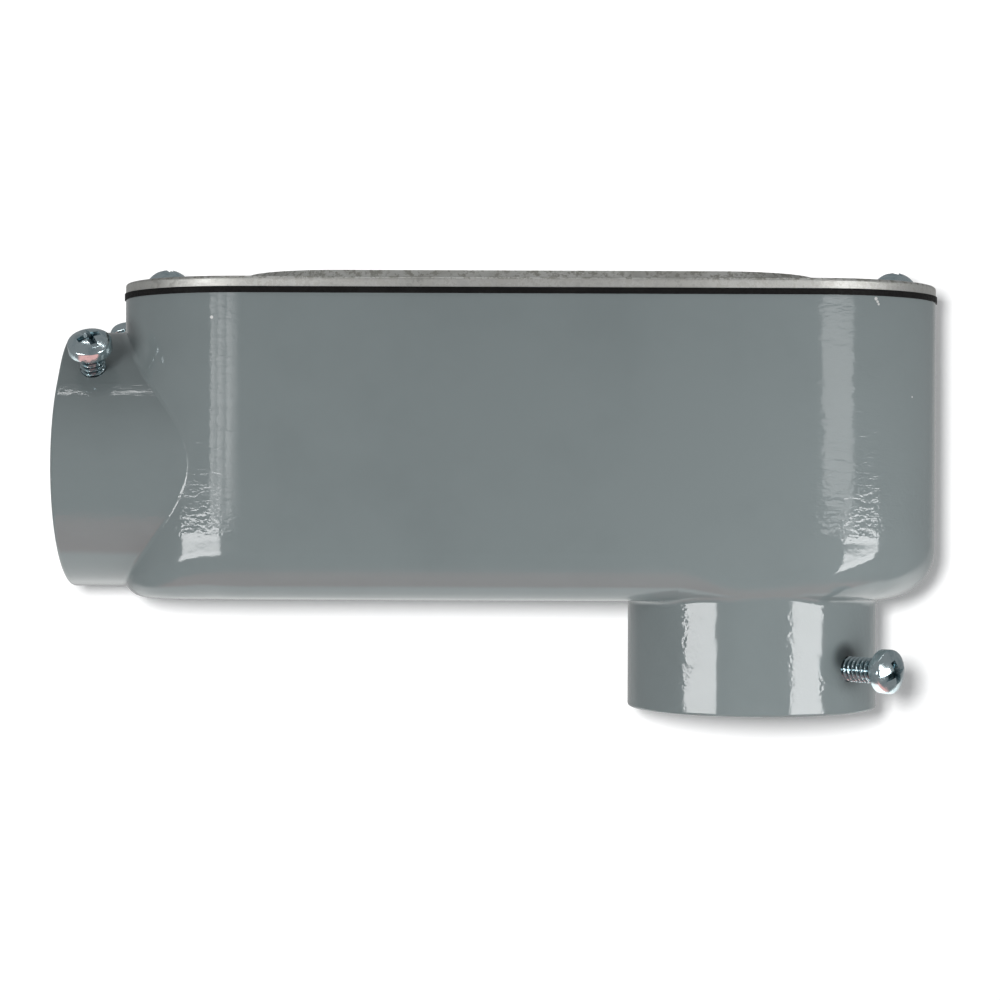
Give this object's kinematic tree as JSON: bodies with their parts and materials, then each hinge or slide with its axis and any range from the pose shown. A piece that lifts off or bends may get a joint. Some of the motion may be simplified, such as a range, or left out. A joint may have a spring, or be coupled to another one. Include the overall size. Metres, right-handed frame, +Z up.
{
  "type": "conduit body",
  "caption": "Elbow conduit body with a back outlet: hollow painted die casting with set-screw hubs for thin-wall conduit, and a screwed cover on a gasket.",
  "frame": {"origin": "middle of the back hub's mouth, on that hub's axis", "axes": "+Z up the back hub's axis towards the cover, -X out of the end hub's mouth, the body's long sides face -Y and +Y"},
  "size_m": [0.2171, 0.0696, 0.1094],
  "materials": {
    "grey_paint": "glossy grey paint on die-cast aluminium",
    "cover_aluminium": "matt mill finish stamped sheet",
    "gasket_rubber": "matt black",
    "zinc_plating": "bright zinc plating on steel"
  },
  "bodies": {
    "body": {"body_casting": "grey_paint", "cover_gasket": "gasket_rubber"},
    "cover": {"cover_plate": "cover_aluminium"},
    "cover_screw_hub_end": {"cover_screw_hub_end": "zinc_plating"},
    "cover_screw_back_end": {"cover_screw_back_end": "zinc_plating"},
    "end_hub_set_screw_front": {"end_hub_set_screw_front": "zinc_plating"},
    "end_hub_set_screw_rear": {"end_hub_set_screw_rear": "zinc_plating"},
    "back_hub_set_screw_front": {"back_hub_set_screw_front": "zinc_plating"},
    "back_hub_set_screw_rear": {"back_hub_set_screw_rear": "zinc_plating"}
  },
  "joints": [
    {"name": "cover_lift", "type": "slide", "parent": "body", "child": "cover", "axis": [0, 0, 1], "range_m": [0, 0.06]},
    {"name": "cover_screw_hub_end_travel", "type": "slide", "parent": "cover", "child": "cover_screw_hub_end", "axis": [0, 0, 1], "range_m": [0, 0.0105]},
    {"name": "cover_screw_back_end_travel", "type": "slide", "parent": "cover", "child": "cover_screw_back_end", "axis": [0, 0, 1], "range_m": [0, 0.0105]},
    {"name": "end_hub_set_screw_front_travel", "type": "slide", "parent": "body", "child": "end_hub_set_screw_front", "axis": [0, -0.6494, 0.7604], "range_m": [-0.0045, 0.0025]},
    {"name": "end_hub_set_screw_rear_travel", "type": "slide", "parent": "body", "child": "end_hub_set_screw_rear", "axis": [0, 0.6494, 0.7604], "range_m": [-0.0105, 0.0025]},
    {"name": "back_hub_set_screw_front_travel", "type": "slide", "parent": "body", "child": "back_hub_set_screw_front", "axis": [0.7071, -0.7071, 0], "range_m": [-0.009, 0.003]},
    {"name": "back_hub_set_screw_rear_travel", "type": "slide", "parent": "body", "child": "back_hub_set_screw_rear", "axis": [0.7071, 0.7071, 0], "range_m": [-0.009, 0.003]}
  ]
}
